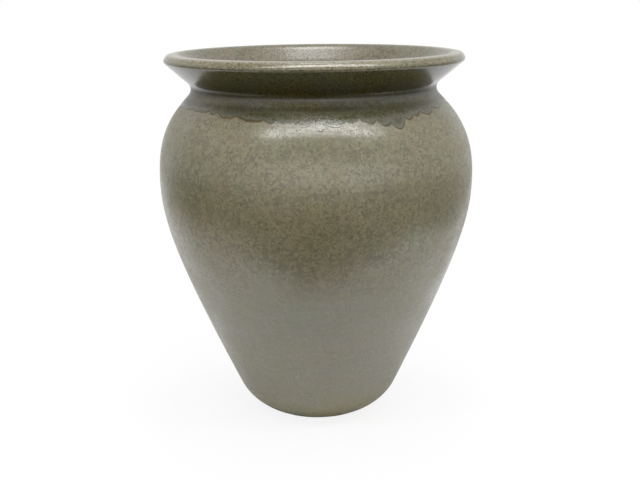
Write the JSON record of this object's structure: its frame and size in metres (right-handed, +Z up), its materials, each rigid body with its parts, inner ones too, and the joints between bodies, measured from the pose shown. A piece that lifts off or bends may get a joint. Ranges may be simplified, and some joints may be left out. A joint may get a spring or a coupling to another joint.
{
  "type": "ceramic vase",
  "caption": "Wide-mouthed stoneware vase with a bevelled lip, flared mouth, full shoulder and narrow foot, in a satin glaze under a darker coat that ran down from the neck.",
  "frame": {"origin": "centre of the foot ring's flat face, on the surface that the vase stands on", "axes": "+Z up along the vase's axis, -Y towards the picture's camera, +X to its right"},
  "size_m": [0.2992, 0.2992, 0.35],
  "materials": {
    "stoneware": "bare fired clay, matt",
    "body_glaze": "satin, mottled grey-olive with fine dark pinholes",
    "liner_glaze": "satin grey-olive",
    "collar_glaze": "glossy, finely streaked olive-grey that ends in a rust-brown line"
  },
  "bodies": {
    "root": {"stoneware_body": "stoneware", "body_glaze": "body_glaze", "liner_glaze": "liner_glaze", "collar_glaze": "collar_glaze"}
  },
  "joints": []
}
